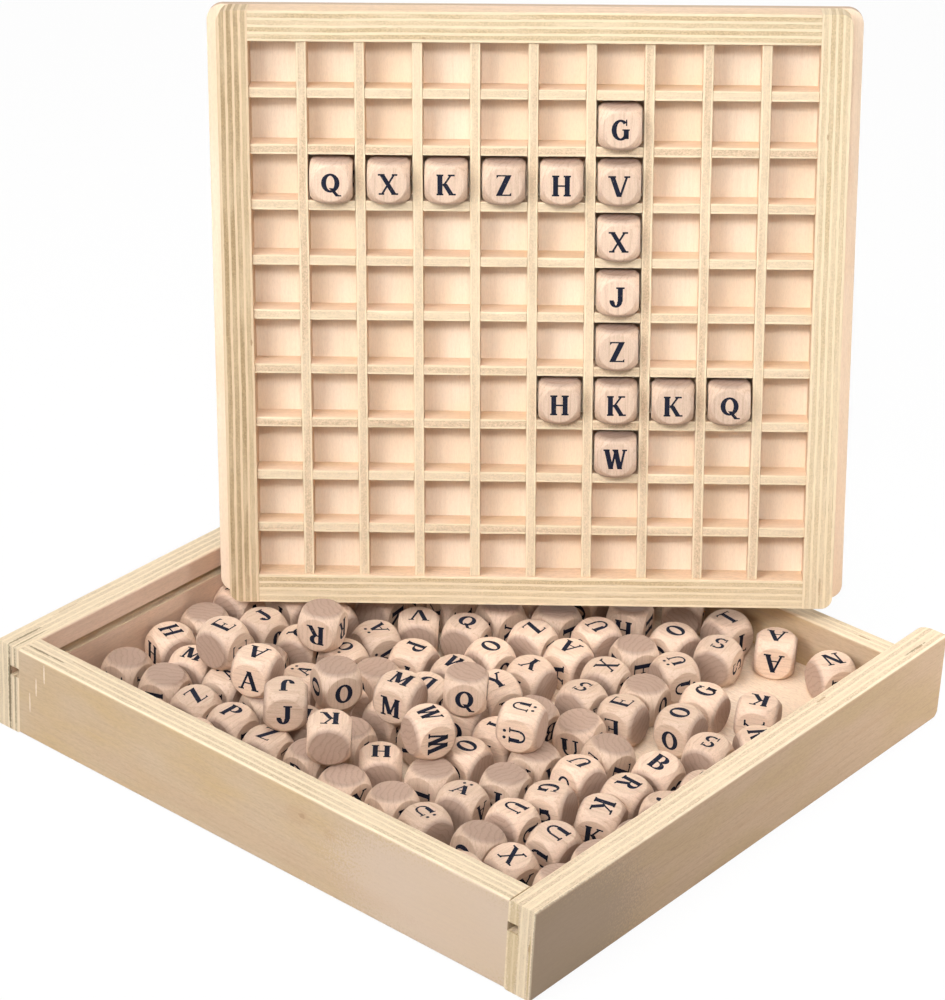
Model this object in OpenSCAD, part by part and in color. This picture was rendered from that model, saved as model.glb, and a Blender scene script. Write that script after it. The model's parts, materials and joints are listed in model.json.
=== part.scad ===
// Travel word dice game: a birch plywood box, its sliding lid that is also
// the playing board, the letter dice set on the board and the loose dice.
// Origin: centre of the box's footprint, on the table. X runs along the two
// long walls, away from the full end wall. Y runs across. Z is up.

/* [Part] */
// which node to build

/* [Dice] */
// side of a letter die
die_side = 16; // [12:0.5:20]
// diameter of the ball that rounds off a die's edges and corners
die_ball = 21; // [17:0.5:26]
// least space between two loose dice
dice_gap = 0.25; // [0.1:0.05:1]
// room that a loose die has in its row before the shaking, each way
shake_room = 3.4; // [3.2:0.1:8]
// most that a loose die in the bottom layer leans, in degrees
lean_most = 9; // [0:1:12]
// number that sets how the loose dice lie
shuffle = 11; // [1:1:99]

/* [Board] */
// room that a cell leaves round a die, both sides together
cell_room = 1.68; // [0.6:0.02:4]
// thickness of the three-ply strips between the cells
strip_t = 3.8; // [2:0.1:6]
// width of the frame's rails, seen from the front
rail_w = 11.5; // [6:0.5:16]
// height of the frame above the panel
frame_h = 11; // [8:0.5:16]
// how far the strips stay below the frame's front
strip_recess = 1.2; // [0.4:0.1:3]
// play of a strip in the slot that it crosses, each side
lap_play = 0.06; // [0.04:0.01:0.3]
// thickness of the thin panel behind the cells
panel_t = 3.6; // [2.5:0.1:5]
// how far the panel's tongues stick out past the frame
tongue = 4.5; // [3:0.1:6]
// radius of the panel's corners
panel_r = 6; // [2:0.5:10]
// radius of the frame's corners
frame_r = 4.5; // [1:0.5:8]
// gap between a placed die and what it rests on
die_rest = 0.05; // [0.03:0.01:0.3]

/* [Box] */
// thickness of the nine-ply walls
wall_t = 11.7; // [10:0.1:18]
// height of the walls
box_h = 36.6; // [34:0.2:60]
// thickness of the floor panel
floor_t = 3.6; // [2:0.1:6]
// how far the rebate for the floor panel reaches into the walls
rebate = 6; // [2:0.5:8]
// play of the floor panel in its rebate, each side
floor_play = 0.2; // [0.1:0.05:1]
// thickness of the low wall that the lid slides over
low_wall_t = 9.3; // [6:0.1:12]
// from the top of the walls down to the grooves
groove_down = 8.6; // [6:0.2:12]
// play between a tongue's tip and the bottom of its groove
tip_play = 0.4; // [0.2:0.1:1.5]
// play of the lid between the long walls, each side
side_play = 0.3; // [0.2:0.1:1.5]
// play of the lid's panel in the grooves, each face
face_play = 0.15; // [0.08:0.01:0.5]
// play between the shut lid and the full end wall
end_play = 1.2; // [0.2:0.1:3]
// how far the shut lid reaches over the low wall
lid_lap = 4.2; // [1:0.1:6]
// how far the low wall's top stays under the grooves
low_wall_drop = 0.1; // [0.05:0.05:2]
// rounding of the walls' arrises
edge_r = 1.2; // [0.3:0.1:2.5]
// rounding of the box's lower edge at the open end
heel_r = 5; // [2:0.5:10]
// rounding of the long walls' inner corners at the open end
nose_r = 5; // [1:0.5:8]

/* [Lid as it stands] */
// how far its lower right corner reaches out over the low wall
lid_over = 4.33; // [0:0.01:15]
// gap between its left edge and the far long wall
wall_gap = 0.3; // [0.3:0.05:6]
// gap between the lid's lowest edge and the dice that it stands on
stand_gap = 0.12; // [0.05:0.01:0.5]
// how far the lid leans back, in degrees
lid_lean = 8; // [0:0.01:12]
// how far its lower edge rises to the right, in degrees
lid_rise = 2.88; // [0:0.01:5]
// its turn about the vertical, in degrees
lid_turn = -52.37; // [-55:0.01:-45]

/* [Hidden] */
$fn = 48;
small = 0.02;

// dice
die_r = die_ball / 2;
cap_r = sqrt(max(0, die_r * die_r - die_side * die_side / 4));

// board
cells = 10;
cell = die_side + cell_room;
pitch = cell + strip_t;
opening = cells * cell + (cells - 1) * strip_t;
frame = opening + 2 * rail_w;
panel_w = frame + 2 * tongue;
strip_h = frame_h - strip_recess;
// cells that hold a die: [column, row] from the top left corner
placed = [
  [2, 3], [3, 3], [4, 3], [5, 3], [6, 3], [7, 2], [7, 3], [7, 4],
  [7, 5], [7, 6], [7, 7], [7, 8], [6, 7], [8, 7], [9, 7]
];

// box
inner_w = frame + 2 * side_play;
inner_l = frame + end_play - lid_lap;
box_w = inner_w + 2 * wall_t;
box_l = inner_l + wall_t + low_wall_t;
groove_deep = tongue - side_play + tip_play;
groove_h = panel_t + 2 * face_play;
groove_z = box_h - groove_down - groove_h;
low_top = groove_z - low_wall_drop;
in_x = -box_l / 2 + wall_t;

// the lid's right, up and front directions as it stands
pitch_a = 90 - lid_lean;
function turned(v) = [
  v[0] * cos(lid_turn) - v[1] * sin(lid_turn),
  v[0] * sin(lid_turn) + v[1] * cos(lid_turn),
  v[2]
];
lid_right = turned([cos(lid_rise), 0, sin(lid_rise)]);
lid_up = turned([
  -sin(lid_rise) * sin(pitch_a), cos(pitch_a), cos(lid_rise) * sin(pitch_a)
]);
lid_front = turned([
  -sin(lid_rise) * cos(pitch_a), -sin(pitch_a), cos(lid_rise) * cos(pitch_a)
]);
flat_top = floor_t + small + die_side;
back = frame_h + panel_t;
lid_drop = (panel_w / 2 - panel_r) * lid_right[2]
  + (frame / 2 - panel_r) * lid_up[2]
  + panel_r * sqrt(pow(lid_right[2], 2) + pow(lid_up[2], 2))
  + back * lid_front[2];
lid_z = flat_top + stand_gap + lid_drop;
// middle of the frame's front face: where the panel's left edge passes the
// far wall's top, and where its lower right corner is, set X and Y
edge_at = (box_h - lid_z + lid_right[2] * panel_w / 2 + lid_front[2] * back)
  / lid_up[2];
lid_y = inner_w / 2 - wall_gap + lid_right[1] * panel_w / 2
  - lid_up[1] * edge_at + lid_front[1] * back;
lid_x = box_l / 2 + lid_over - lid_right[0] * panel_w / 2
  + lid_up[0] * frame / 2 + lid_front[0] * back;

// the lowest point of the lid as it stands, seen from above
lid_low_angle = atan2(lid_right[2], lid_up[2]);
lid_foot = [
  for (k = [0, 1])
    [lid_x, lid_y][k] - back * lid_front[k]
      - (panel_w / 2 - panel_r + panel_r * sin(lid_low_angle)) * lid_right[k]
      - (frame / 2 - panel_r + panel_r * cos(lid_low_angle)) * lid_up[k]
];

// loose dice: they start in rows, side by side, and are then shaken one
// small move at a time; a move counts if the die stays clear of the others
slot = die_ball + dice_gap;
rows = floor(inner_w / (die_side + shake_room));
row_n = floor(inner_l / (die_side + shake_room));
moves_each = 50;
longest_move = 7;
widest_turn = 35;
corner = [in_x + inner_l, -inner_w / 2];
// least space between a moving die and a wall
wall_room = 1;
// dice by the right corner: [from the low wall, from the near wall] in
// dice, and turn
by_corner = [
  [0.54, 1.18, 62], [0.57, 2.4, 30], [1.53, 3.01, 12], [0.66, 3.44, 80],
  [2.64, 1.32, 24], [3.06, 2.21, 8], [3.58, 0.66, 50], [0.56, 4.52, 30]
];
// dice that lie against the near wall, the full end wall and the low wall:
// how far along the wall from its middle, in dice
at_near = -1.9;
at_end = -2.6;
at_low = 3.1;
// the floor is bare within this distance of a point near the corner
bare_r = 1.27 * slot;
bare_middle = corner + slot * [-1.7, 1.46];
// dice on top of the others: [along X, along Y] from the middle in dice,
// and turn
heap = [
  [-2.77, 3.58, 4], [-3.05, 2.5, 18], [-3.52, 1.4, 40], [-2.4, 1.22, 62],
  [-1.08, 2.72, 22], [-1.98, 0.1, 12], [-3.8, 0.14, 39], [-2.5, -0.98, 66],
  [-1.22, -2.02, 20], [-0.98, -0.56, 35]
];

// how far a die reaches from its middle towards a direction
function reach(d) =
  let (m = min(1, max(abs(d[0]), abs(d[1]), abs(d[2]))))
  die_r * m > die_side / 2
    ? die_side / 2 * m + cap_r * sqrt(1 - m * m) : die_r;

// the same straight down, for a die that leans by a and then by b
function reach_down(a, b) = reach([-sin(b), cos(b) * sin(a), cos(b) * cos(a)]);

// the same along the floor at an angle, for a die [x, y, turn, a, b]
function reach_along(p, angle) =
  let (c = cos(angle - p[2]), s = sin(angle - p[2]), a = p[3], b = p[4])
  reach([
    c * cos(b),
    s * cos(a) + c * sin(b) * sin(a),
    -s * sin(a) + c * sin(b) * cos(a)
  ]);

// true if some upright plane passes between two dice
function apart(p, q) =
  let (dx = q[0] - p[0], dy = q[1] - p[1], far = norm([dx, dy]))
  far >= slot || (far > die_side && len([
    for (angle = [p[2], p[2] + 90, q[2], q[2] + 90, atan2(dy, dx)])
      if (abs(dx * cos(angle) + dy * sin(angle))
        >= reach_along(p, angle) + reach_along(q, angle) + dice_gap) 1
  ]) > 0);

function apart_from_all(p, dice, own) =
  len([for (i = [0:len(dice) - 1]) if (i != own && !apart(p, dice[i])) 1])
    == 0;

function in_box(p) =
  p[0] >= in_x + reach_along(p, 180) + wall_room
  && p[0] <= in_x + inner_l - reach_along(p, 0) - wall_room
  && p[1] >= -inner_w / 2 + reach_along(p, 270) + wall_room
  && p[1] <= inner_w / 2 - reach_along(p, 90) - wall_room;

function off_bare(p) = norm([p[0], p[1]] - bare_middle) >= bare_r + die_r;

// moves one die after another while moves are left; the first ones stay
function shaken(dice, left, kept) =
  left <= 0 ? dice :
  let (
    i = kept + left % (len(dice) - kept),
    r = rands(-1, 1, 3, shuffle + left),
    to = dice[i] + [
      longest_move * r[0], longest_move * r[1], widest_turn * r[2], 0, 0
    ],
    good = in_box(to) && off_bare(to) && apart_from_all(to, dice, i)
  )
  shaken(
    good ? [for (k = [0:len(dice) - 1]) k == i ? to : dice[k]] : dice,
    left - 1, kept
  );

// distance from a point to the line under the lid's frame
function from_lid(p) =
  let (across = [lid_right[1], -lid_right[0]])
  abs((p[0] - lid_x + lid_up[0] * frame / 2) * across[0]
    + (p[1] - lid_y + lid_up[1] * frame / 2) * across[1]) / norm(across);

// true where a die has to lie flat, under the lid or under other dice
function under_load(p) = from_lid(p) < 2 * die_ball
  || min([for (h = heap) norm([p[0], p[1]] - slot * [h[0], h[1]])]) < slot;

// every die on the floor: [x, y, turn, a, b]
function floor_dice() =
  let (
    from_wall = die_side / 2 + dice_gap,
    kept = concat(
      [
        [lid_foot[0], inner_w / 2 - from_wall, 0, 0, 0],
        [slot * at_near, -inner_w / 2 + from_wall, 0, 0, 0],
        [in_x + from_wall, slot * at_end, 0, 0, 0],
        [in_x + inner_l - from_wall, slot * at_low, 0, 0, 0]
      ],
      [
        for (p = by_corner)
          [corner[0] - slot * p[0], corner[1] + slot * p[1], p[2], 0, 0]
      ]
    ),
    lean = rands(-lean_most, lean_most, 2 * rows * row_n, shuffle),
    start = [
      for (j = [0:rows - 1])
        for (i = [0:row_n - 1])
          let (
            k = 2 * (j * row_n + i),
            die = [
              in_x + inner_l * (i + 0.5) / row_n,
              inner_w * ((j + 0.5) / rows - 0.5),
              0, lean[k], lean[k + 1]
            ]
          )
          if (off_bare(die) && apart_from_all(die, kept, -1)) die
    ],
    dice = shaken(
      concat(kept, start), moves_each * len(start), len(kept)
    )
  )
  [for (p = dice) under_load(p) ? [p[0], p[1], p[2], 0, 0] : p];

module die() {
  intersection() {
    cube(die_side, center = true);
    sphere(d = die_ball, $fn = 96);
  }
}

// a die [x, y, turn, a, b] on the plane at height z
module lying_die(z, p) {
  translate([p[0], p[1], z + small + reach_down(p[3], p[4])])
    rotate([p[3], p[4], p[2]])
      die();
}

module loose_dice() {
  color("BurlyWood")
    for (p = floor_dice())
      lying_die(floor_t, p);
}

module top_dice() {
  color("BurlyWood")
    for (p = heap)
      lying_die(flat_top, [slot * p[0], slot * p[1], p[2], 0, 0]);
}

// a square with two opposite corners given, all corners rounded
module soft_square(p, q, r) {
  translate(p)
    offset(r = r)
      offset(delta = -r)
        square(q - p);
}

// the box's outline from the side, with the rounded heel at the open end
module side_outline(h) {
  extra = heel_r + 1;
  difference() {
    translate([-box_l / 2, 0])
      square([box_l, h]);
    translate([box_l / 2 - heel_r, 0])
      difference() {
        translate([0, -1])
          square([extra, heel_r + 1]);
        translate([0, heel_r])
          circle(heel_r);
      }
  }
}

module side_cut(h, y0, y1) {
  translate([0, y1, 0])
    rotate([90, 0, 0])
      linear_extrude(y1 - y0)
        side_outline(h);
}

// the floor panel, made wider by extra all round
module floor_sheet(h, extra) {
  under = rebate - floor_play + extra;
  translate([in_x - under, -inner_w / 2 - under, 0])
    cube([inner_l + 2 * under, inner_w + 2 * under, h]);
}

// a wall with the rebate that the floor panel sits in
module rebated() {
  difference() {
    children();
    translate([0, 0, -1])
      floor_sheet(floor_t + 1, floor_play);
  }
}

// a long wall's section: y runs from the outer face in, z up
module wall_section() {
  difference() {
    soft_square([0, 0], [wall_t, box_h], edge_r);
    translate([wall_t - groove_deep, groove_z])
      square([groove_deep + 1, groove_h]);
  }
}

// a long wall's outline from above, with the rounded nose at the open end
module wall_plan() {
  difference() {
    soft_square([-box_l / 2, 0], [box_l / 2, wall_t], edge_r / 2);
    translate([box_l / 2 - nose_r, wall_t - nose_r])
      difference() {
        square(nose_r + 1);
        circle(nose_r);
      }
  }
  translate([-box_l / 2, wall_t / 2])
    square([wall_t, wall_t / 2]);
}

module long_wall() {
  intersection() {
    translate([-box_l / 2, 0, 0])
      rotate([90, 0, 90])
        linear_extrude(box_l)
          wall_section();
    linear_extrude(box_h)
      wall_plan();
    side_cut(box_h, 0, wall_t);
  }
}

module near_long_wall() {
  color("Tan")
    rebated()
      translate([0, -box_w / 2, 0])
        long_wall();
}

module far_long_wall() {
  color("Tan")
    mirror([0, 1, 0])
      near_long_wall();
}

// a wall across the box, from x0 to x1, with soft arrises
module cross_wall(x0, x1, top) {
  rebated()
    translate([0, inner_w / 2, 0])
      rotate([90, 0, 0])
        linear_extrude(inner_w)
          soft_square([x0, 0], [x1, top], edge_r);
}

module full_end_wall() {
  color("Wheat")
    cross_wall(-box_l / 2, in_x, box_h);
}

module low_end_wall() {
  color("Wheat")
    intersection() {
      cross_wall(in_x + inner_l, box_l / 2, low_top);
      side_cut(box_h, -inner_w / 2, inner_w / 2);
    }
}

module floor_panel() {
  color("BlanchedAlmond")
    intersection() {
      floor_sheet(floor_t, 0);
      side_cut(box_h, -box_w / 2, box_w / 2);
    }
}

// puts the lid where it stands; its front face is the plane z = 0 before
module stand() {
  translate([lid_x, lid_y, lid_z])
    rotate([pitch_a, -lid_rise, lid_turn])
      children();
}

module lid_panel() {
  color("BlanchedAlmond")
    stand()
      translate([0, 0, -frame_h - panel_t])
        linear_extrude(panel_t)
          soft_square([-panel_w / 2, -frame / 2], [panel_w / 2, frame / 2],
            panel_r);
}

// a rail of the frame between two corners, inside the frame's outline
module rail(p, q) {
  color("Wheat")
    stand()
      translate([0, 0, -frame_h])
        linear_extrude(frame_h)
          intersection() {
            translate(p)
              square(q - p);
            soft_square([-frame / 2, -frame / 2], [frame / 2, frame / 2],
              frame_r);
          }
}

module lid_rail_left() {
  rail([-frame / 2, -frame / 2], [-opening / 2, frame / 2]);
}

module lid_rail_right() {
  rail([opening / 2, -frame / 2], [frame / 2, frame / 2]);
}

module lid_rail_top() {
  rail([-opening / 2, opening / 2], [opening / 2, frame / 2]);
}

module lid_rail_bottom() {
  rail([-opening / 2, -frame / 2], [opening / 2, -opening / 2]);
}

// middle of the strip after cell i, from the first cell's outer side
function strip_at(i) = -opening / 2 + i * pitch - strip_t / 2;

// a strip along Y whose slots reach from z0 to z1
module slotted_strip(z0, z1) {
  difference() {
    translate([-strip_t / 2, -opening / 2, 0])
      cube([strip_t, opening, strip_h]);
    for (i = [1:cells - 1])
      translate([-strip_t, strip_at(i) - strip_t / 2 - lap_play, z0])
        cube([2 * strip_t, strip_t + 2 * lap_play, z1 - z0]);
  }
}

// strips between the columns: whole in front, slotted from behind
module column_strip(i) {
  color("Moccasin")
    stand()
      translate([strip_at(i), 0, -frame_h])
        slotted_strip(-1, strip_h / 2 + lap_play);
}

// strips between the rows, from the top down: slotted from the front
module row_strip(i) {
  color("Moccasin")
    stand()
      translate([0, -strip_at(i), -frame_h])
        rotate([0, 0, 90])
          slotted_strip(strip_h / 2 - lap_play, strip_h + 1);
}

module placed_die(i) {
  spot = placed[i - 1];
  color("BurlyWood")
    stand()
      translate([
        -opening / 2 + cell / 2 + (spot[0] - 1) * pitch,
        opening / 2 - cell / 2 - (spot[1] - 1) * pitch
          - cell_room / 2 + die_rest,
        -frame_h + die_rest + die_side / 2
      ])
        die();
}

near_long_wall();
far_long_wall();
full_end_wall();
low_end_wall();
floor_panel();
lid_panel();
lid_rail_left();
lid_rail_right();
lid_rail_top();
lid_rail_bottom();
for (i = [1:cells - 1]) {
  column_strip(i);
  row_strip(i);
}
for (i = [1:len(placed)])
  placed_die(i);
loose_dice();
top_dice();
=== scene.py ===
"""Looks of the word dice game: plywood box, board lid and letter dice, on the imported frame. In metres."""

import itertools
import json
import math

import bpy
import numpy as np
from mathutils import Matrix, Vector

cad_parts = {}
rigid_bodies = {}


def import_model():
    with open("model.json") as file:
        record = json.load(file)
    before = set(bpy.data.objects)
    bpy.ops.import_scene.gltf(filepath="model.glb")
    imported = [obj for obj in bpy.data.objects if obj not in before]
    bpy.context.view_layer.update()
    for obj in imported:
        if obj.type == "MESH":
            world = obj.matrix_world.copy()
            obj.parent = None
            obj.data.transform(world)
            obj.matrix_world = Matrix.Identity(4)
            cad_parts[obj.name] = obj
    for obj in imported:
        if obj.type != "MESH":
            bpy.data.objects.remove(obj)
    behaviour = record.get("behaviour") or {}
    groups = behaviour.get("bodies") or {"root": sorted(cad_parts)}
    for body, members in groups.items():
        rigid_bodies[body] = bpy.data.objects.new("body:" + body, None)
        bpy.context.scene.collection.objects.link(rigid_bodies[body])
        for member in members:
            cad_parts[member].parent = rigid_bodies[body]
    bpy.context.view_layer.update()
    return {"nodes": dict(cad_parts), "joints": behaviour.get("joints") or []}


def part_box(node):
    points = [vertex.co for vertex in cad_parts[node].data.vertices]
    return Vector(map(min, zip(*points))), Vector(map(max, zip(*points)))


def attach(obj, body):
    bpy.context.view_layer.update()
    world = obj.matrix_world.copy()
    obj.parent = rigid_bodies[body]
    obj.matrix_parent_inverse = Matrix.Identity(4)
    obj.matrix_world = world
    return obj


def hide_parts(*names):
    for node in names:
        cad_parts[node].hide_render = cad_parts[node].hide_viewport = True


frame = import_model()
NODES = frame["nodes"]
MM = 0.001

# Sizes that the looks share with the frame, in millimetres
BOX_H = 36.6
WALL_T = 11.7
LOW_WALL_T = 9.3
FLOOR_T = 3.6
PANEL_T = 3.6
RAIL_W = 11.5
STRIP_T = 3.8
DIE_SIDE = 16.0
DIE_BALL = 21.0

# Camera, from the box's and the lid's corners in the photograph
CAMERA_AT = (-0.90520, -0.70513, 0.71515)
CAMERA_RIGHT = (0.63634, -0.77006, 0.04564)
CAMERA_UP = (0.34128, 0.33409, 0.87858)
CAMERA_LENS = 126.99

# Colours as linear light
WALL = {"face": (0.59, 0.445, 0.305), "dark": (0.52, 0.37, 0.245), "gold": (0.58, 0.415, 0.235),
        "long": (0.80, 0.66, 0.47), "cross": (0.58, 0.46, 0.315)}
# painted shade: the near long wall's copy of the wall colours has a darker face, dark and gold, standing in
# for the shade on its outer face; its cross plies are lighter
SHADED_NEAR_WALL = {**WALL, "face": (0.56, 0.39, 0.255), "dark": (0.47, 0.315, 0.20), "gold": (0.53, 0.37, 0.215),
             "cross": (0.63, 0.49, 0.34)}
# painted light: the far long wall's copy has a paler face, dark and gold, lifting its inner face, which
# stands in shade
LIT_FAR_WALL = {**WALL, "face": (0.77, 0.57, 0.445), "dark": (0.65, 0.465, 0.35), "gold": (0.73, 0.53, 0.40)}
RAIL = {"face": (0.80, 0.60, 0.44), "dark": (0.72, 0.52, 0.36), "gold": (0.76, 0.56, 0.37),
        "long": (0.80, 0.66, 0.46), "cross": (0.56, 0.42, 0.25)}
# painted shade: the left rail's copy of the rail colours has darker long and cross plies, standing in for
# the shade on that rail
SHADED_LEFT_RAIL = {**RAIL, "long": (0.72, 0.56, 0.37), "cross": (0.41, 0.29, 0.16)}
PANEL = {"face": (0.87, 0.72, 0.57), "dark": (0.80, 0.62, 0.47), "gold": (0.83, 0.66, 0.49),
         "long": (0.59, 0.43, 0.32), "cross": (0.46, 0.33, 0.22)}
STRIP = {**RAIL, "long": (0.82, 0.68, 0.48), "cross": (0.63, 0.47, 0.315)}
GLUE = (0.26, 0.17, 0.08)
BEECH = (0.71, 0.53, 0.405)
BEECH_DARK = (0.53, 0.365, 0.265)
BEECH_END = (0.29, 0.195, 0.155)
INK = (0.006, 0.008, 0.022)

# Surfaces: roughness, specular level, and how deep the grain is in metres
PLY_ROUGH = 0.6
DIE_ROUGH = 0.52
INK_ROUGH = 0.8
SHINE = 0.25
GRAIN_DEEP = 0.0002


# Node trees


class Tree:
    """A material's node tree, with one short call for each kind of node."""

    def __init__(self, name):
        self.material = bpy.data.materials.new(name)
        self.material.use_nodes = True
        self.tree = self.material.node_tree
        self.tree.nodes.clear()
        self.out = self.tree.nodes.new("ShaderNodeOutputMaterial")

    def plug(self, value, socket):
        if isinstance(value, bpy.types.NodeSocket):
            self.tree.links.new(value, socket)
        elif socket.type == "RGBA":
            socket.default_value = (*value[:3], 1.0)
        else:
            socket.default_value = value

    def node(self, kind, inputs, output=0, **settings):
        made = self.tree.nodes.new(kind)
        for key, value in settings.items():
            setattr(made, key, value)
        for key, value in inputs.items():
            self.plug(value, made.inputs[key])
        return made.outputs[output]

    def math(self, operation, *values):
        return self.node("ShaderNodeMath", dict(enumerate(values)), operation=operation)

    def dot(self, vector, direction):
        inputs = {0: vector, 1: tuple(direction)}
        return self.node("ShaderNodeVectorMath", inputs, output="Value", operation="DOT_PRODUCT")

    def join(self, x, y, z):
        return self.node("ShaderNodeCombineXYZ", {"X": x, "Y": y, "Z": z})

    def stretched(self, values, shares):
        """A place whose directions are scaled, so that noise read there is drawn out."""
        scaled = [v if share == 1.0 else self.math("MULTIPLY", v, share) for v, share in zip(values, shares)]
        return self.join(*scaled)

    def noise(self, vector, scale, detail=3.0, roughness=0.55, w=None):
        inputs = {"Vector": vector, "Scale": scale, "Detail": detail, "Roughness": roughness}
        if w is None:
            return self.node("ShaderNodeTexNoise", inputs)
        return self.node("ShaderNodeTexNoise", {**inputs, "W": w}, noise_dimensions="4D")

    def steps(self, value, low, high, to_low=0.0, to_high=1.0):
        inputs = {"Value": value, "From Min": low, "From Max": high, "To Min": to_low, "To Max": to_high}
        return self.node("ShaderNodeMapRange", inputs, interpolation_type="SMOOTHSTEP")

    def mix(self, share, a, b, blend="MIX"):
        made = self.tree.nodes.new("ShaderNodeMix")
        made.data_type = "RGBA"
        made.blend_type = blend
        self.plug(share, made.inputs[0])
        self.plug(a, made.inputs[6])
        self.plug(b, made.inputs[7])
        return made.outputs[2]

    def scaled(self, colour, share):
        """The colour times a share that may differ from place to place."""
        grey = self.join(share, share, share)
        return self.mix(1.0, colour, grey, "MULTIPLY")

    def bump(self, height, strength, distance):
        return self.node("ShaderNodeBump", {"Height": height, "Strength": strength, "Distance": distance})

    def surface(self, colour, roughness, normal=None):
        inputs = {"Base Color": colour, "Roughness": roughness, "Specular IOR Level": SHINE}
        if normal is not None:
            inputs["Normal"] = normal
        shader = self.node("ShaderNodeBsdfPrincipled", inputs)
        self.tree.links.new(shader, self.out.inputs["Surface"])
        return self.material


# Plywood

# How far the plies wander, how soft their edges are and how wide a glue line gets, in millimetres
PLY_WAVE = 0.2
PLY_BLUR = 0.12
WIDEST_GLUE = 0.2
# How far a glue line hides the ply under it
GLUE_STRENGTH = 0.5
# How far the normal leans from a sheet's faces where its edge plies begin and its veneer ends
EDGE_FACING = 0.72
VENEER_FACING = 0.95


def edge_plies(t, run, side, deep, thickness, plies, looks, long_share, seed):
    """Plies by depth on a sheet's edge: every second one lies across the grain, is thicker and shows its
    pores. No two plies are equally brown, and broken dark glue lines part them."""
    crossed_plies = plies // 2
    cross_t = thickness / (crossed_plies + long_share * (crossed_plies + 1))
    long_t = long_share * cross_t
    period = long_t + cross_t
    wave_at = t.join(t.math("MULTIPLY", run, 0.02), t.math("MULTIPLY", side, 0.03), 0.0)
    wave = t.noise(wave_at, 1.0, 2.0, 0.5, seed + 7.0)
    bent = t.math("ADD", deep, t.steps(wave, 0.3, 0.7, -PLY_WAVE, PLY_WAVE))
    cycle = t.math("FLOOR", t.math("DIVIDE", bent, period))
    within = t.math("SUBTRACT", bent, t.math("MULTIPLY", cycle, period))
    crossed = t.steps(within, long_t - PLY_BLUR, long_t + PLY_BLUR)
    step = t.math("GREATER_THAN", within, long_t)
    layer = t.math("ADD", t.math("MULTIPLY", cycle, 2.0), t.math("ADD", step, seed))
    tone = t.node("ShaderNodeTexWhiteNoise", {"W": layer}, noise_dimensions="1D")
    place = (run, side, deep)
    drift = t.noise(t.stretched(place, (0.03, 0.05, 0.3)), 1.0, 2.0, 0.55, layer)
    fibre = t.noise(t.stretched(place, (0.06, 0.06, 1.0)), 3.6, 3.0, 0.6, seed + 9.0)
    grit = t.noise(t.stretched(place, (0.7, 1.0, 1.0)), 1.9, 3.0, 0.75, seed + 11.0)
    pale = t.scaled(looks["long"], t.steps(fibre, 0.3, 0.7, 0.90, 1.03))
    brown = t.scaled(looks["cross"], t.steps(grit, 0.3, 0.7, 0.78, 1.22))
    browned = t.math("MULTIPLY", t.steps(tone, 0.0, 1.0, 0.55, 1.0), t.steps(drift, 0.3, 0.65, 0.45, 1.15))
    edge = t.mix(t.math("MULTIPLY", crossed, browned), pale, brown)
    near_low = t.math("MINIMUM", within, t.math("SUBTRACT", period, within))
    near_step = t.math("ABSOLUTE", t.math("SUBTRACT", within, long_t))
    from_glue = t.math("MINIMUM", near_low, near_step)
    breaks = t.noise(t.stretched(place, (0.12, 0.12, 1.0)), 1.4, 2.0, 0.6, layer)
    glue_width = t.steps(breaks, 0.5, 0.78, 0.0, WIDEST_GLUE)
    inner = t.math("MULTIPLY", t.math("GREATER_THAN", deep, 0.5 * long_t),
                   t.math("LESS_THAN", deep, thickness - 0.5 * long_t))
    glued = t.math("MULTIPLY", t.math("LESS_THAN", from_glue, glue_width), inner)
    return t.mix(t.math("MULTIPLY", glued, GLUE_STRENGTH), edge, GLUE)


def face_veneer(t, run, side, deep, looks, streak, seed):
    """The outer veneer: slow golden clouds, fine streaks along the grain and short darker flecks."""
    place = (run, side, deep)
    streaks = t.noise(t.stretched(place, (0.05, 1.0, 0.6)), 0.9, 5.0, 0.6, seed)
    clouds = t.noise(t.stretched(place, (0.4, 1.0, 1.0)), 0.05, 2.0, 0.5, seed + 3.0)
    flecks = t.noise(t.stretched(place, (0.22, 1.0, 1.0)), 2.2, 3.0, 0.7, seed + 5.0)
    base = t.mix(t.steps(clouds, 0.38, 0.66), looks["face"], looks["gold"])
    veneer = t.mix(t.math("MULTIPLY", t.steps(streaks, 0.42, 0.7), streak), base, looks["dark"])
    veneer = t.scaled(veneer, t.steps(flecks, 0.28, 0.62, 1.0 - 0.17 * streak, 1.0 + 0.04 * streak))
    height = t.math("ADD", t.math("MULTIPLY", streaks, 0.6), t.math("MULTIPLY", flecks, 0.4))
    return veneer, height


MARK_RIM = 0.3


def marked(t, colour, run, side, deep, marks):
    """Knots, scratches, stains and patches of painted shade: each mark is a middle and a half length along
    (run, side, deep), in millimetres, a colour and a strength. Noise makes its rim uneven."""
    for middle, reach, tint, strength in marks:
        offsets = []
        for value, centre, half in zip((run, side, deep), middle, reach):
            part = t.math("DIVIDE", t.math("SUBTRACT", value, centre), half)
            offsets.append(t.math("MULTIPLY", part, part))
        far = t.math("ADD", t.math("ADD", offsets[0], offsets[1]), offsets[2])
        rough = t.noise(t.join(run, side, deep), 1.1, 2.0, 0.6, middle[2])
        far = t.math("ADD", far, t.steps(rough, 0.3, 0.7, -MARK_RIM, MARK_RIM))
        colour = t.mix(t.math("MULTIPLY", t.steps(far, 1.0, 0.35), strength), colour, tint)
    return colour


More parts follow.
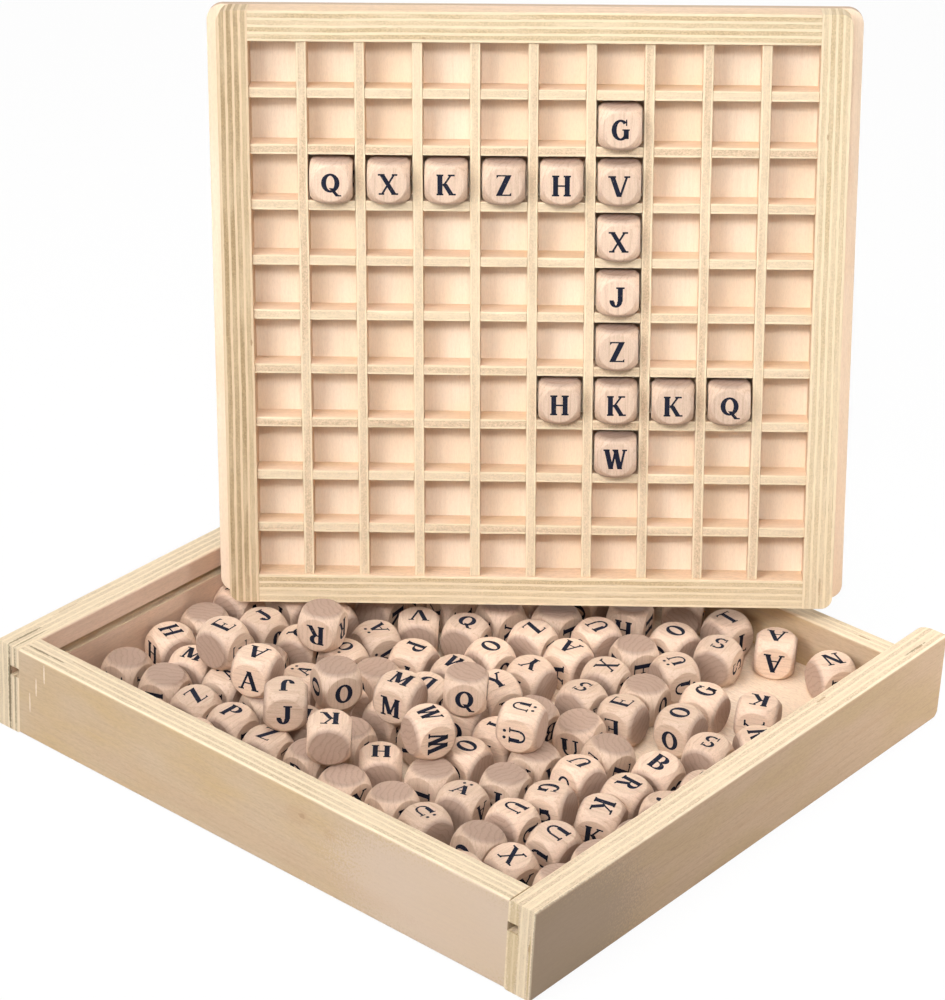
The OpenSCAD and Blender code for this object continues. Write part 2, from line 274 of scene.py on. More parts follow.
def plywood(name, origin, along, across, thick_axis, thickness, plies, looks, seed, long_share=0.62,
            streak=1.0, marks=()):
    """Plies stacked along thick_axis from origin. The two broad faces show the outer veneer, whose grain
    runs along `along`. All axes are unit vectors of the row frame. long_share is how thick a ply along the
    grain is against one across it, and streak how strong the veneer's grain is."""
    t = Tree(name)
    coords = t.node("ShaderNodeTexCoord", {}, output="Object")
    normal = t.node("ShaderNodeTexCoord", {}, output="Normal")
    place = t.node("ShaderNodeVectorMath", {0: coords, 1: tuple(origin)}, operation="SUBTRACT")
    run = t.math("MULTIPLY", t.dot(place, along), 1000.0)
    side = t.math("MULTIPLY", t.dot(place, across), 1000.0)
    deep = t.math("MULTIPLY", t.dot(place, thick_axis), 1000.0)
    edge = edge_plies(t, run, side, deep, thickness, plies, looks, long_share, seed)
    veneer, height = face_veneer(t, run, side, deep, looks, streak, seed)
    facing = t.math("ABSOLUTE", t.dot(normal, thick_axis))
    colour = t.mix(t.steps(facing, EDGE_FACING, VENEER_FACING), edge, veneer)
    colour = marked(t, colour, run, side, deep, marks)
    return t.surface(colour, PLY_ROUGH, t.bump(height, 0.15, GRAIN_DEEP))


X, Y, Z = (1, 0, 0), (0, 1, 0), (0, 0, 1)

# How near two points are joined and how wide an arris is, in millimetres, and from what angle, in degrees
WELD_WITHIN = 0.01
ARRIS = 0.25
ARRIS_FROM = 35


def wear(node, material):
    """Gives a CAD node its material, and softens its arrises a little."""
    piece = NODES[node]
    piece.data.materials.clear()
    piece.data.materials.append(material)
    weld = piece.modifiers.new("weld", "WELD")
    weld.merge_threshold = WELD_WITHIN * MM
    soft = piece.modifiers.new("arris", "BEVEL")
    soft.width = ARRIS * MM
    soft.segments = 2
    soft.limit_method = "ANGLE"
    soft.angle_limit = math.radians(ARRIS_FROM)
    soft.harden_normals = False


def corner(node, pick):
    """A corner of a node's box: pick says low (0) or high (1) for each axis."""
    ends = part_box(node)
    return tuple(ends[p][i] for i, p in enumerate(pick))


# Colours of marks, one of which is painted shade
DARK_PLY = (0.14, 0.10, 0.045)
KNOT = (0.36, 0.22, 0.12)
FAINT = (0.50, 0.32, 0.19)
PALE = (0.86, 0.76, 0.62)
ROSY = (0.65, 0.51, 0.40)
# painted shade: the colour that darkens the near long wall towards its near corner
PAINTED_SHADE = (0.36, 0.265, 0.19)
SMEAR = (0.50, 0.36, 0.16)

NEAR_MARKS = [
    ((179.5, BOX_H, 8.4), (3.6, 1.5, 0.55), KNOT, 0.75),
    ((235.0, BOX_H, 3.3), (8.0, 1.5, 0.5), DARK_PLY, 0.7),
    ((237.0, BOX_H, 2.9), (3.0, 1.5, 0.5), KNOT, 0.8),
    ((0.0, 18.0, 9.0), (1.0, 26.0, 3.0), SMEAR, 0.42),
    ((0.0, 21.0, 2.0), (1.0, 2.6, 0.5), KNOT, 0.8),
    ((0.0, 14.0, 1.7), (1.0, 16.0, 0.4), SMEAR, 0.6),
    # painted shade: the near long wall darker towards the near corner
    ((0.0, 14.0, 0.0), (70.0, 34.0, 1.0), PAINTED_SHADE, 0.7),
    ((150.0, 14.0, 0.0), (60.0, 2.2, 1.0), FAINT, 0.18),
    ((205.0, 19.0, 0.0), (30.0, 1.8, 1.0), FAINT, 0.22),
]
FAR_MARKS = [
    ((9.0, BOX_H, 5.6), (11.0, 1.5, 0.6), DARK_PLY, 0.75),
    ((8.5, BOX_H, 2.6), (10.0, 1.5, 0.45), DARK_PLY, 0.6),
    ((0.0, 18.0, 5.0), (1.2, 22.0, 0.8), DARK_PLY, 0.8),
    ((0.0, 18.0, 2.0), (1.2, 22.0, 0.55), DARK_PLY, 0.55),
    ((34.0, BOX_H, 8.7), (9.0, 1.5, 0.4), KNOT, 0.5),
    ((0.0, 26.0, 2.4), (1.5, 3.0, 2.4), KNOT, 0.45),
]
END_MARKS = [
    ((228.5, BOX_H, 4.8), (6.5, 1.5, 0.6), DARK_PLY, 0.75),
    ((219.5, BOX_H, 4.9), (5.0, 1.5, 0.5), DARK_PLY, 0.65),
    ((207.0, BOX_H, 7.8), (8.0, 1.5, 0.4), KNOT, 0.4),
    ((95.0, 27.0, 0.0), (7.0, 4.5, 1.0), FAINT, 0.3),
    ((93.0, 27.6, 0.0), (1.8, 1.2, 1.0), KNOT, 0.45),
    ((80.0, 25.3, 0.0), (3.4, 2.8, 1.0), FAINT, 0.35),
    ((221.2, 31.0, 0.0), (0.45, 4.6, 1.0), PALE, 0.75),
    ((225.5, 24.0, 0.0), (0.45, 4.6, 1.0), PALE, 0.7),
    ((229.0, 16.0, 0.0), (0.45, 5.0, 1.0), PALE, 0.6),
    ((24.0, 18.0, 0.0), (62.0, 26.0, 1.0), ROSY, 0.7),
    ((120.0, 8.0, 0.0), (90.0, 6.0, 1.0), FAINT, 0.2),
]
LOW_MARKS = [((22.0, 24.0, 4.2), (3.4, 1.5, 0.6), KNOT, 0.7)]
WALL_STREAK = 0.6
# Each wall's long and thick axes, thickness, plies, colours, seed and marks
WALLS = {
    # the near long wall wears colours with painted shade, the far long wall colours with painted light
    "near_long_wall": (X, Y, WALL_T, 9, SHADED_NEAR_WALL, 1.0, NEAR_MARKS),
    "far_long_wall": (X, Y, WALL_T, 9, LIT_FAR_WALL, 21.0, FAR_MARKS),
    "full_end_wall": (Y, X, WALL_T, 9, WALL, 42.0, END_MARKS),
    "low_end_wall": (Y, X, LOW_WALL_T, 7, WALL, 63.0, LOW_MARKS),
}
for name, (long_axis, thick_axis, thickness, plies, looks, seed, marks) in WALLS.items():
    wear(name, plywood(name + "_ply", corner(name, (0, 0, 0)), long_axis, Z, thick_axis, thickness, plies,
                       looks, seed, streak=WALL_STREAK, marks=marks))
wear("floor_panel", plywood("floor_ply", corner("floor_panel", (0, 0, 0)), Y, X, Z, FLOOR_T, 3, PANEL, 84.0))


# The lid's own directions, read from the frame


def farthest_direction(node):
    """The direction in which a node is longest."""
    points = np.array([v.co for v in NODES[node].data.vertices])
    points -= points.mean(0)
    return Vector(np.linalg.svd(points, full_matrices=False)[2][0])


pull = next(j for j in frame["joints"] if j["parent"] == "lid")
FRONT = Vector(pull["axis"]).normalized()
RIGHT = farthest_direction("lid_rail_top")
RIGHT = (RIGHT * (1 if RIGHT.x > 0 else -1) - FRONT * RIGHT.dot(FRONT)).normalized()
UP = FRONT.cross(RIGHT).normalized()
LID_AXES = Matrix((RIGHT, UP, FRONT)).transposed()


def lid_low(node):
    """A node's lowest corner in the lid's directions, as a point of the row frame."""
    points = np.array([v.co for v in NODES[node].data.vertices]) @ np.array(LID_AXES)
    return LID_AXES @ Vector(points.min(0))


RAIL_SEEDS = {"left": 5.0, "right": 26.0, "top": 47.0, "bottom": 68.0}
# Marks on the rails go right through them
THROUGH = 30.0
RAIL_MARKS = {
    "left": [
        ((8.5, 0.0, 7.3), (4.0, THROUGH, 0.8), KNOT, 0.4),
        ((106.0, 0.0, 10.6), (1.6, THROUGH, 0.5), KNOT, 0.7),
    ],
    "right": [
        ((9.5, 0.0, 6.5), (5.0, THROUGH, 0.6), KNOT, 0.5),
        ((188.0, 0.0, 3.6), (1.6, THROUGH, 0.7), KNOT, 0.6),
    ],
    "top": [((65.0, 0.0, 1.6), (1.2, THROUGH, 0.5), KNOT, 0.6)],
    "bottom": [((140.0, 0.0, 4.0), (14.0, THROUGH, 0.6), KNOT, 0.3)],
}
for side, seed in RAIL_SEEDS.items():
    name = "lid_rail_" + side
    upright = side in ("left", "right")
    long_axis, thick_axis = (UP, RIGHT) if upright else (RIGHT, UP)
    # the left rail takes the rail colours with painted shade
    looks = SHADED_LEFT_RAIL if side == "left" else RAIL
    wear(name, plywood(name + "_ply", lid_low(name), long_axis, FRONT, thick_axis, RAIL_W, 9, looks, seed,
                       marks=RAIL_MARKS[side]))
wear("lid_panel", plywood("lid_panel_ply", lid_low("lid_panel"), UP, RIGHT, FRONT, PANEL_T, 3, PANEL, 90.0,
                          streak=0.45))
for i in range(1, 10):
    for kind, long_axis, thick_axis in (("column", UP, RIGHT), ("row", RIGHT, UP)):
        name = f"{kind}_strip_{i}"
        wear(name, plywood(name + "_ply", lid_low(name), long_axis, FRONT, thick_axis, STRIP_T, 3, STRIP,
                           100.0 + 7 * i + (kind == "row") * 3, 0.3, 0.6))


# Dice

# The pith's distance from a die and how far it differs sideways, in millimetres
PITH_AWAY = 16.0
PITH_SPREAD = 20.0
RINGS_PER_MM = 0.45
RING_WANDER = 2.2


def beech():
    t = Tree("beech")
    local = t.node("ShaderNodeAttribute", {}, output="Vector", attribute_name="die_place")
    tone = t.node("ShaderNodeAttribute", {}, output="Fac", attribute_name="die_tone")
    parts = t.tree.nodes.new("ShaderNodeSeparateXYZ")
    t.plug(local, parts.inputs[0])
    x, y, z = parts.outputs
    shift = t.math("MULTIPLY", tone, 37.0)
    # growth rings round a pith outside the die, seen as arcs on the end grain and as lines on the sides
    aside = t.math("FRACT", t.math("MULTIPLY", tone, 7.3))
    pith_x = t.math("ADD", x, t.math("MULTIPLY", aside, PITH_SPREAD))
    pith_y = t.math("ADD", y, PITH_AWAY)
    squares = t.math("ADD", t.math("MULTIPLY", pith_x, pith_x), t.math("MULTIPLY", pith_y, pith_y))
    far = t.math("SQRT", squares)
    wander_at = t.join(x, y, t.math("MULTIPLY", z, 0.12))
    wander = t.noise(wander_at, 0.22, 2.0, 0.5, shift)
    rings = t.math("MULTIPLY", far, RINGS_PER_MM)
    ring = t.math("FRACT", t.math("ADD", rings, t.math("MULTIPLY", wander, RING_WANDER)))
    ring = t.steps(ring, 0.55, 1.0)
    streak_at = t.join(x, y, t.math("MULTIPLY", z, 0.06))
    streaks = t.noise(streak_at, 1.6, 4.0, 0.65, shift)
    flecks = t.noise(t.join(x, y, t.math("MULTIPLY", z, 0.3)), 4.5, 2.0, 0.6, shift)
    share = t.math("ADD", t.math("MULTIPLY", streaks, 0.7), t.math("MULTIPLY", ring, 0.10))
    colour = t.mix(t.steps(share, 0.28, 0.66), BEECH, BEECH_DARK)
    colour = t.scaled(colour, t.steps(flecks, 0.3, 0.62, 0.9, 1.04))
    end = t.steps(t.math("ABSOLUTE", z), 0.40 * DIE_SIDE, 0.5 * DIE_SIDE)
    end_colour = t.scaled(BEECH_END, t.math("SUBTRACT", 1.18, t.math("MULTIPLY", ring, 0.24)))
    colour = t.mix(t.math("MULTIPLY", end, 0.72), colour, end_colour)
    colour = t.scaled(colour, t.steps(tone, 0.0, 1.0, 0.90, 1.12))
    relief = t.bump(t.math("ADD", streaks, t.math("MULTIPLY", ring, 0.3)), 0.18, GRAIN_DEEP)
    return t.surface(colour, DIE_ROUGH, relief)


def ink():
    t = Tree("ink")
    coords = t.node("ShaderNodeTexCoord", {}, output="Object")
    worn = t.noise(coords, 900.0, 3.0, 0.6)
    colour = t.mix(t.steps(worn, 0.62, 0.8, 0.0, 0.35), INK, BEECH_DARK)
    return t.surface(colour, INK_ROUGH)


BEECH_MATERIAL = beech()
INK_MATERIAL = ink()


# Letters, drawn as flat strokes in a square of one cap height, middle at the origin

STEM = 0.235
HAIR = 0.11
SERIF = 0.085
ARC_STEPS = 10


def bar(x0, y0, x1, y1, width):
    """A stroke with level ends between two points, width measured level."""
    h = width / 2
    return [[(x0 - h, y0), (x0 + h, y0), (x1 + h, y1), (x1 - h, y1)]]


def box2(x0, y0, x1, y1):
    return [[(x0, y0), (x1, y0), (x1, y1), (x0, y1)]]


def foot(x, y, half=0.19):
    """A serif at the end of a stem: it lies inside the cap height."""
    up = SERIF if y < 0 else -SERIF
    low, high = sorted((y, y + up))
    return box2(x - half, low, x + half, high)


def stem(x, half=0.19):
    return bar(x, -0.5, x, 0.5, STEM) + foot(x, -0.5, half) + foot(x, 0.5, half)


def arc(cx, cy, rx, ry, start, end, thick=STEM, thin=HAIR):
    """A stroke round an ellipse: thick at its sides and thin at its top and bottom. Angles in degrees."""
    quads = []
    steps = max(3, int(ARC_STEPS * abs(end - start) / 180))
    for i in range(steps):
        ring = []
        for a in (start + (end - start) * i / steps, start + (end - start) * (i + 1) / steps):
            c, s = math.cos(math.radians(a)), math.sin(math.radians(a))
            ring.append(((cx + rx * c, cy + ry * s), (cx + (rx - thick) * c, cy + (ry - thin) * s)))
        quads.append([ring[0][0], ring[1][0], ring[1][1], ring[0][1]])
    return quads


def arm(x, y, side, drop=0.17):
    """The pointed end of a level arm."""
    down = -drop if y > 0 else drop
    inner = y + (SERIF if y < 0 else -SERIF)
    return [[(x, y), (x, y + down), (x - side * 0.08, inner), (x - side * 0.1, y)]]


def dots(y=0.66, r=0.085):
    eighths = [k * math.pi / 4 for k in range(8)]
    return [[(x + r * math.cos(a), y + r * math.sin(a)) for a in eighths] for x in (-0.18, 0.18)]


GLYPHS = {
    "A": bar(-0.36, -0.5, 0.0, 0.5, HAIR) + bar(0.34, -0.5, 0.0, 0.5, STEM) + box2(-0.22, -0.17, 0.22, -0.10)
    + foot(-0.36, -0.5, 0.14) + foot(0.34, -0.5, 0.18),
    "B": stem(-0.26, 0.14) + arc(0.0, 0.25, 0.30, 0.25, -90, 90) + arc(0.0, -0.23, 0.34, 0.27, -90, 90)
    + box2(-0.26, 0.425, 0.0, 0.5) + box2(-0.26, -0.035, 0.0, 0.04) + box2(-0.26, -0.5, 0.0, -0.425),
    "C": arc(0.04, 0.0, 0.42, 0.5, 45, 315) + box2(0.28, 0.2, 0.34, 0.5),
    "D": stem(-0.26, 0.14) + arc(-0.04, 0.0, 0.42, 0.5, -90, 90)
    + box2(-0.26, 0.425, -0.04, 0.5) + box2(-0.26, -0.5, -0.04, -0.425),
    "E": stem(-0.24, 0.14) + box2(-0.24, 0.43, 0.34, 0.5) + box2(-0.24, -0.5, 0.36, -0.43)
    + box2(-0.24, -0.035, 0.14, 0.035) + box2(0.10, -0.13, 0.16, 0.13)
    + arm(0.34, 0.5, 1) + arm(0.36, -0.5, 1),
    "G": arc(0.02, 0.0, 0.42, 0.5, 45, 330) + bar(0.28, -0.42, 0.28, 0.0, STEM)
    + box2(0.1, -0.03, 0.44, 0.04) + box2(0.26, 0.2, 0.32, 0.5),
    "H": stem(-0.27, 0.17) + stem(0.27, 0.17) + box2(-0.27, -0.04, 0.27, 0.04),
    "I": stem(0.0, 0.2),
    "J": bar(0.12, -0.2, 0.12, 0.5, STEM) + foot(0.12, 0.5, 0.2) + arc(-0.08, -0.2, 0.295, 0.3, 180, 360)
    + box2(-0.38, -0.26, -0.18, -0.14),
    "K": stem(-0.27, 0.16) + bar(-0.12, -0.06, 0.26, 0.5, HAIR) + bar(0.28, -0.5, -0.06, 0.06, STEM)
    + foot(0.26, 0.5, 0.16) + foot(0.30, -0.5, 0.17),
    "M": bar(-0.34, -0.5, -0.34, 0.5, HAIR) + bar(0.0, -0.4, -0.30, 0.5, STEM)
    + bar(0.0, -0.4, 0.32, 0.5, HAIR) + bar(0.34, -0.5, 0.34, 0.5, STEM)
    + foot(-0.34, -0.5, 0.13) + foot(0.34, -0.5, 0.18) + foot(-0.38, 0.5, 0.12) + foot(0.38, 0.5, 0.12),
    "N": bar(-0.30, -0.5, -0.30, 0.5, HAIR) + bar(0.28, -0.5, -0.28, 0.5, STEM * 1.1)
    + bar(0.32, -0.5, 0.32, 0.5, HAIR)
    + foot(-0.30, -0.5, 0.16) + foot(-0.34, 0.5, 0.14) + foot(0.32, 0.5, 0.16),
    "O": arc(0.0, 0.0, 0.43, 0.5, 0, 360),
    "P": stem(-0.24, 0.16) + arc(0.0, 0.22, 0.33, 0.28, -90, 90) + box2(-0.24, 0.425, 0.0, 0.5)
    + box2(-0.24, -0.06, 0.0, 0.015),
    "Q": arc(0.0, 0.04, 0.43, 0.46, 0, 360) + bar(0.34, -0.6, 0.02, -0.2, STEM * 0.8)
    + box2(0.3, -0.6, 0.5, -0.53),
    "R": stem(-0.26, 0.16) + arc(-0.02, 0.24, 0.31, 0.26, -90, 90) + box2(-0.26, 0.425, -0.02, 0.5)
    + box2(-0.26, -0.02, -0.02, 0.055) + bar(0.30, -0.5, 0.02, 0.0, STEM) + box2(0.2, -0.5, 0.46, -0.43),
    "S": arc(0.0, 0.23, 0.31, 0.27, 40, 262, STEM * 0.7) + arc(0.0, -0.23, 0.33, 0.27, -140, 82, STEM * 0.7)
    + box2(0.2, 0.2, 0.26, 0.5) + box2(-0.3, -0.5, -0.24, -0.2),
    "T": stem(0.0, 0.19) + box2(-0.4, 0.43, 0.4, 0.5) + arm(0.4, 0.5, 1) + arm(-0.4, 0.5, -1),
    "U": bar(-0.28, -0.15, -0.28, 0.5, STEM) + bar(0.30, -0.15, 0.30, 0.5, HAIR) + foot(-0.28, 0.5, 0.18)
    + foot(0.30, 0.5, 0.15) + arc(-0.02, -0.15, 0.355, 0.35, 180, 360, 0.13),
    "V": bar(0.0, -0.5, -0.34, 0.5, STEM) + bar(0.04, -0.5, 0.36, 0.5, HAIR) + foot(-0.34, 0.5, 0.18)
    + foot(0.36, 0.5, 0.14),
    "W": bar(-0.2, -0.5, -0.42, 0.5, STEM) + bar(-0.18, -0.5, 0.02, 0.5, HAIR)
    + bar(0.22, -0.5, 0.0, 0.5, STEM) + bar(0.24, -0.5, 0.44, 0.5, HAIR)
    + foot(-0.42, 0.5, 0.15) + foot(0.44, 0.5, 0.12) + foot(0.0, 0.5, 0.14),
    "X": bar(0.30, -0.5, -0.30, 0.5, STEM) + bar(-0.30, -0.5, 0.30, 0.5, HAIR) + foot(-0.31, 0.5, 0.16)
    + foot(0.31, 0.5, 0.13) + foot(-0.31, -0.5, 0.13) + foot(0.31, -0.5, 0.16),
    "Y": bar(0.0, -0.05, -0.32, 0.5, STEM) + bar(0.02, -0.05, 0.32, 0.5, HAIR)
    + bar(0.0, -0.5, 0.0, 0.0, STEM)
    + foot(0.0, -0.5, 0.18) + foot(-0.32, 0.5, 0.16) + foot(0.32, 0.5, 0.13),
    "Z": box2(-0.33, 0.43, 0.34, 0.5) + box2(-0.34, -0.5, 0.36, -0.43)
    + bar(-0.22, -0.5, 0.24, 0.5, STEM * 1.15) + arm(-0.33, 0.5, -1) + arm(0.36, -0.5, 1),
}
# a dotted letter is a little lower and narrower, with its dots on top
for plain, narrower in (("O", 0.86), ("U", 0.9), ("A", 0.9)):
    lower = [[(x * narrower, y * 0.8 - 0.1) for x, y in stroke] for stroke in GLYPHS[plain]]
    GLYPHS[plain + "_dots"] = lower + dots(0.52)

# Height of a letter, and how far its ink stands off the wood, in millimetres
CAP_HEIGHT = 8.0
INK_LIFT = 0.04


def die_template():
    """One die: six flat caps, a soft rim round each and the ball between them, as points in millimetres and
    faces."""
    half = DIE_SIDE / 2
    ball = DIE_BALL / 2
    rim = 0.5
    turns = 24
    flat_rings = 2
    rim_steps = 3
    ball_steps = 2
    rim_at = math.sqrt((ball - rim) ** 2 - (half - rim) ** 2)
    rim_end = math.atan2(half - rim, rim_at)
    points = []
    faces = []
    for axis in range(3):
        for sign in (1, -1):
            u, v, w = (axis + 1) % 3, (axis + 2) % 3, axis
            rings = []
            for k in range(1, flat_rings + 1):
                rings.append([(rim_at * k / flat_rings, half)] * turns)
            for k in range(1, rim_steps + 1):
                a = math.pi / 2 + (rim_end - math.pi / 2) * k / rim_steps
                rings.append([(rim_at + rim * math.cos(a), half - rim + rim * math.sin(a))] * turns)
            low_angle = math.pi / 2 - rim_end
            for k in range(1, ball_steps + 1):
                ring = []
                for i in range(turns):
                    a = 2 * math.pi * i / turns
                    edge = math.atan(1 / max(abs(math.cos(a)), abs(math.sin(a))))
                    t = low_angle + (edge - low_angle) * k / ball_steps
                    ring.append((ball * math.sin(t), ball * math.cos(t)))
                rings.append(ring)
            middle = [0.0, 0.0, 0.0]
            middle[w] = sign * half
            first = len(points)
            points.append(middle)
            for ring in rings:
                for i, (r, h) in enumerate(ring):
                    a = 2 * math.pi * i / turns
                    p = [0.0, 0.0, 0.0]
                    p[u], p[v], p[w] = r * math.cos(a), r * math.sin(a), sign * h
                    points.append(p)
            order = 1 if sign > 0 else -1
            for i in range(turns):
                j = (i + 1) % turns
                faces.append([first, first + 1 + i, first + 1 + j][::order])
                for k in range(len(rings) - 1):
                    a, b = first + 1 + k * turns, first + 1 + (k + 1) * turns
                    faces.append([a + i, b + i, b + j, a + j][::order])
    return np.array(points), faces


DIE_POINTS, DIE_FACES = die_template()
FACE_AXES = [(axis, sign) for axis in range(3) for sign in (1, -1)]
# How near two points count as one, in millimetres: in the frame's dice, and in these
SAME_WITHIN = 0.002
DIE_WELD = 0.004


def letter_on_face(letter, axis, sign, quarter, points, faces):
    """Adds a letter's strokes to lists of points and faces, on one face of a die at the origin."""
    normal = np.zeros(3)
    normal[axis] = sign
    first = np.zeros(3)
    first[(axis + 1) % 3] = 1
    second = np.cross(normal, first)
    a = quarter * math.pi / 2
    right = first * math.cos(a) + second * math.sin(a)
    up = np.cross(normal, right)
    base = normal * (DIE_SIDE / 2 + INK_LIFT)
    for stroke in GLYPHS[letter]:
        start = len(points)
        for x, y in stroke:
            points.append(base + CAP_HEIGHT * (x * right + y * up))
        corners = list(range(start, len(points)))
        (x0, y0), (x1, y1), (x2, y2) = stroke[:3]
        if (x1 - x0) * (y2 - y1) - (y1 - y0) * (x2 - x1) < 0:
            corners.reverse()
        faces.append(corners)


def dice_of(node):
    """Where each die of a node lies: its middle in metres, and its three directions as a matrix's columns.
    A die is a group of joined faces, and its directions are those of its largest flats."""
    mesh = NODES[node].data
    points = np.array([v.co for v in mesh.vertices])
    grid = np.round(points / (SAME_WITHIN * MM)).astype(np.int64)
    keys, same = np.unique(grid, axis=0, return_inverse=True)
    same = same.ravel()
    parent = np.arange(len(keys))

    def root(i):
        while parent[i] != i:
            parent[i] = parent[parent[i]]
            i = parent[i]
        return i

    for polygon in mesh.polygons:
        ids = [root(same[i]) for i in polygon.vertices]
        for other in ids[1:]:
            parent[root(other)] = root(ids[0])
    groups = {}
    for polygon in mesh.polygons:
        groups.setdefault(root(same[polygon.vertices[0]]), []).append(polygon)
    found = []
    for polygons in groups.values():
        areas = {}
        for polygon in polygons:
            if polygon.area > 0:
                key = tuple(np.round(np.array(polygon.normal), 2) + 0.0)
                total, vector = areas.get(key, (0.0, np.zeros(3)))
                areas[key] = (total + polygon.area, vector + polygon.area * np.array(polygon.normal))
        flats = [v / np.linalg.norm(v) for _, v in sorted(areas.values(), key=lambda a: -a[0])[:6]]
        axes = [flats[0]]
        for flat in flats[1:]:
            if all(abs(flat @ a) < 0.5 for a in axes):
                axes.append(flat)
        third = np.cross(axes[0], axes[1])
        third /= np.linalg.norm(third)
        second = np.cross(third, axes[0])
        turn = np.array([axes[0], second, third]).T
        own = points[sorted({i for polygon in polygons for i in polygon.vertices})]
        spans = own @ turn
        middle = turn @ ((spans.min(0) + spans.max(0)) / 2)
        found.append((middle, turn))
    found.sort(key=lambda d: (round(d[0][0], 4), round(d[0][1], 4)))
    return found


def dice_piece(name, node, body, choose):
    """Own dice in place of a CAD node's. choose(turn) gives each one's letter, turn of its own frame (a
    matrix of whole quarter turns), quarter turns of its letters, and tone. The grain runs along a die's own
    z, whose two faces are end grain and have no letter."""
    points = []
    faces = []
    places = []
    tones = []
    inked = []
    for middle, turn in dice_of(node):
        letter, quarter_frame, quarters, tone = choose(turn)
        basis = turn @ quarter_frame
        start = len(points)
        own = [list(p) for p in DIE_POINTS]
        own_faces = [list(f) for f in DIE_FACES]
        wooden = len(own_faces)
        for (axis, sign), quarter in zip(FACE_AXES, quarters):
            if axis < 2:
                letter_on_face(letter, axis, sign, quarter, own, own_faces)
        local = np.array(own)
        world = local @ basis.T * MM + middle
        points.extend(world.tolist())
        places.extend(local.tolist())
        tones.extend([tone] * len(local))
        for k, f in enumerate(own_faces):
            faces.append([start + i for i in f])
            inked.append(int(k >= wooden))
    mesh = bpy.data.meshes.new(name)
    mesh.from_pydata(points, [], faces)
    mesh.materials.append(BEECH_MATERIAL)
    mesh.materials.append(INK_MATERIAL)
    mesh.polygons.foreach_set("material_index", inked)
    mesh.polygons.foreach_set("use_smooth", [m == 0 for m in inked])
    place = mesh.attributes.new("die_place", "FLOAT_VECTOR", "POINT")
    place.data.foreach_set("vector", np.array(places, np.float32).ravel())
    shade = mesh.attributes.new("die_tone", "FLOAT", "POINT")
    shade.data.foreach_set("value", np.array(tones, np.float32))
    mesh.update()
    piece = bpy.data.objects.new(name, mesh)
    bpy.context.scene.collection.objects.link(piece)
    weld = piece.modifiers.new("weld", "WELD")
    weld.merge_threshold = DIE_WELD * MM
    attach(piece, body)
    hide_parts(node)


# The 24 ways to turn a die by whole quarter turns
ROTATIONS = []
signs = (1, -1)
for first, second, first_sign, second_sign in itertools.product(range(3), range(3), signs, signs):
    if first != second:
        turned = np.zeros((3, 3))
        turned[first, 0] = first_sign
        turned[second, 1] = second_sign
        turned[:, 2] = np.cross(turned[:, 0], turned[:, 1])
        ROTATIONS.append(turned)

LOOSE_LETTERS = list("ANQEZXRYKHVWGCDOPBIUJSTM") + ["O_dots", "U_dots", "A_dots"]
SHUFFLE = 5
dice_random = np.random.default_rng(SHUFFLE)


def at_random(turn):
    letter = LOOSE_LETTERS[dice_random.integers(len(LOOSE_LETTERS))]
    quarter_frame = ROTATIONS[dice_random.integers(len(ROTATIONS))]
    quarters = [int(q) for q in dice_random.integers(0, 4, 6)]
    return letter, quarter_frame, quarters, float(dice_random.random())


dice_piece("loose_letter_dice", "loose_dice", "box", at_random)
dice_piece("upper_letter_dice", "top_dice", "box", at_random)

# letters of the dice on the board: no word reads across or down
BOARD_LETTERS = "QXKZHGVXJZKWHKQ"


def upright_on_board(letter):
    def choose(turn):
        wanted = np.array([np.array(FRONT), np.array(RIGHT), np.array(UP)]).T
        quarter_frame = np.round(turn.T @ wanted)
        return letter, quarter_frame, [0] * 6, float(dice_random.random())

    return choose


for number, letter in enumerate(BOARD_LETTERS, start=1):
    dice_piece(f"board_die_{number}", f"placed_die_{number}", f"die_{number}", upright_on_board(letter))


# Camera, floor and light

camera_data = bpy.data.cameras.new("camera")
camera_data.lens = CAMERA_LENS
camera_data.sensor_width = 36.0
camera_data.clip_start = 0.01
camera = bpy.data.objects.new("camera", camera_data)
right = Vector(CAMERA_RIGHT)
up = Vector(CAMERA_UP)
camera_turn = Matrix((right, up, right.cross(up))).transposed()
camera.matrix_world = Matrix.Translation(CAMERA_AT) @ camera_turn.to_4x4()
bpy.context.scene.collection.objects.link(camera)
bpy.context.scene.camera = camera

FLOOR_REACH = 3.0
FLOOR_Z = -0.0003
# How pale the floor is for the light that it throws back, and where it is seen
PAPER_BOUNCE = 0.45
PAPER_SEEN = 0.92
# How much of the floor's look is plain white: the rest holds the shadow
FLOOR_WHITE = 0.94
floor_mesh = bpy.data.meshes.new("floor")
floor_signs = ((-1, -1), (1, -1), (1, 1), (-1, 1))
floor_corners = [(x * FLOOR_REACH, y * FLOOR_REACH, FLOOR_Z) for x, y in floor_signs]
floor_mesh.from_pydata(floor_corners, [], [(0, 1, 2, 3)])
floor = bpy.data.objects.new("floor", floor_mesh)
bpy.context.scene.collection.objects.link(floor)
t = Tree("floor")
rays = t.tree.nodes.new("ShaderNodeLightPath")
seen = t.math("MAXIMUM", rays.outputs["Is Camera Ray"], rays.outputs["Is Glossy Ray"])
seen = t.math("MAXIMUM", seen, rays.outputs["Is Transmission Ray"])
paper_colour = t.mix(seen, [PAPER_BOUNCE] * 3, [PAPER_SEEN] * 3)
paper = t.node("ShaderNodeBsdfDiffuse", {"Color": paper_colour})
white = t.node("ShaderNodeEmission", {"Color": (1.0, 1.0, 1.0), "Strength": 1.0})
blend = t.node("ShaderNodeMixShader", {0: t.math("MULTIPLY", seen, FLOOR_WHITE), 1: paper, 2: white})
t.tree.links.new(blend, t.out.inputs["Surface"])
floor_mesh.materials.append(t.material)

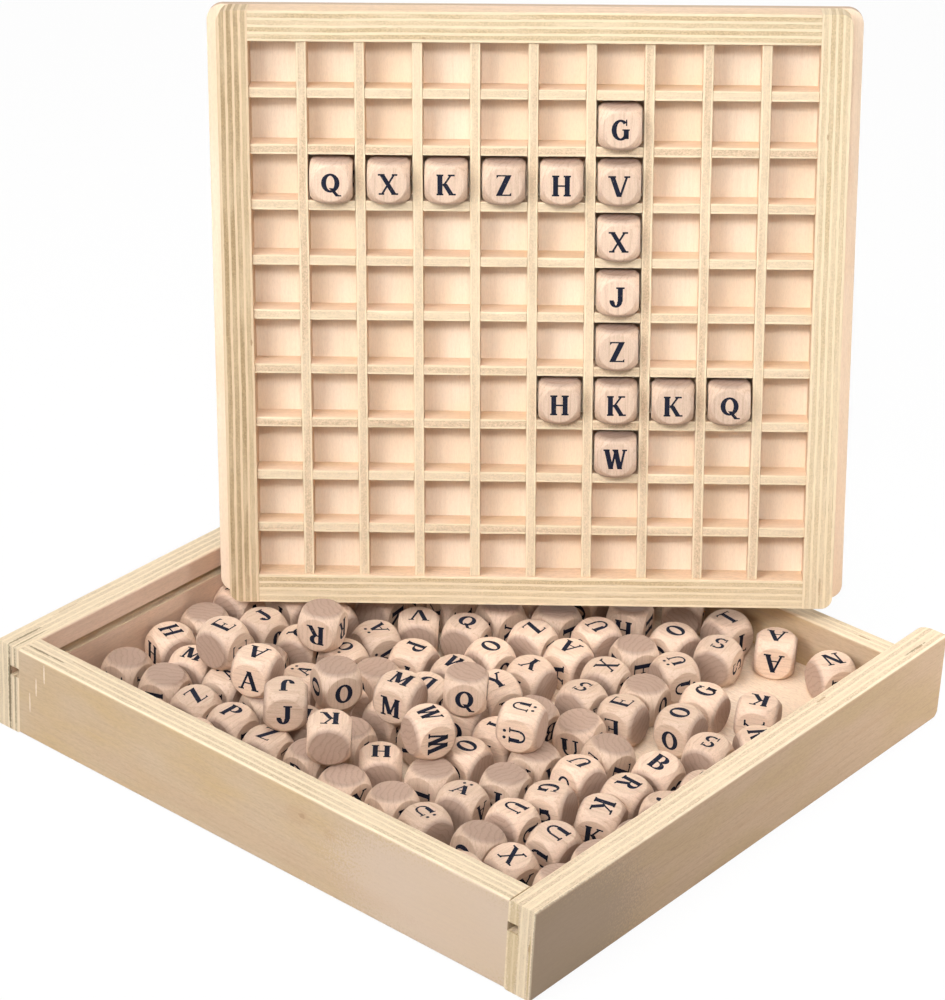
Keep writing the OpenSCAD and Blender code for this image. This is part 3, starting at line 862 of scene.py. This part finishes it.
SKY = (1.0, 0.99, 0.97)
SKY_STRENGTH = 0.31
world = bpy.data.worlds.new("world")
bpy.context.scene.world = world
world.use_nodes = True
nodes = world.node_tree.nodes
links = world.node_tree.links
nodes.clear()
sky = nodes.new("ShaderNodeBackground")
sky.inputs["Color"].default_value = (*SKY, 1.0)
sky.inputs["Strength"].default_value = SKY_STRENGTH
backdrop = nodes.new("ShaderNodeBackground")
backdrop.inputs["Color"].default_value = (1.0, 1.0, 1.0, 1.0)
backdrop.inputs["Strength"].default_value = 1.0
path = nodes.new("ShaderNodeLightPath")
either = nodes.new("ShaderNodeMixShader")
white_for = path.outputs["Is Camera Ray"]
for other in ("Is Glossy Ray", "Is Transmission Ray"):
    more = nodes.new("ShaderNodeMath")
    more.operation = "MAXIMUM"
    links.new(white_for, more.inputs[0])
    links.new(path.outputs[other], more.inputs[1])
    white_for = more.outputs[0]
links.new(white_for, either.inputs[0])
links.new(sky.outputs[0], either.inputs[1])
links.new(backdrop.outputs[0], either.inputs[2])
world_out = nodes.new("ShaderNodeOutputWorld")
links.new(either.outputs[0], world_out.inputs["Surface"])


def lamp(name, at, target, size, power, spread):
    data = bpy.data.lights.new(name, "AREA")
    data.spread = math.radians(spread)
    data.size = size
    data.energy = power
    made = bpy.data.objects.new(name, data)
    made.location = at
    made.rotation_euler = (Vector(target) - Vector(at)).to_track_quat("-Z", "Y").to_euler()
    made.visible_camera = False
    bpy.context.scene.collection.objects.link(made)


# Name, place, what it points at, size in metres, power, and spread in degrees
LAMPS = [
    ("key", (-1.4, 0.16, 1.0), (0.0, 0.0, 0.1), 0.8, 19.0, 180),
    ("top", (-0.25, 0.15, 1.9), (0.0, 0.0, 0.1), 0.9, 13.5, 180),
    ("right", (0.32, -0.36, 0.15), (0.13, -0.12, 0.03), 0.12, 0.95, 180),
    ("board", (-0.80, -0.62, 1.05), (0.09, 0.01, 0.14), 0.25, 0.29, 29),
]
for settings in LAMPS:
    lamp(*settings)

bpy.context.scene.view_settings.view_transform = "Standard"
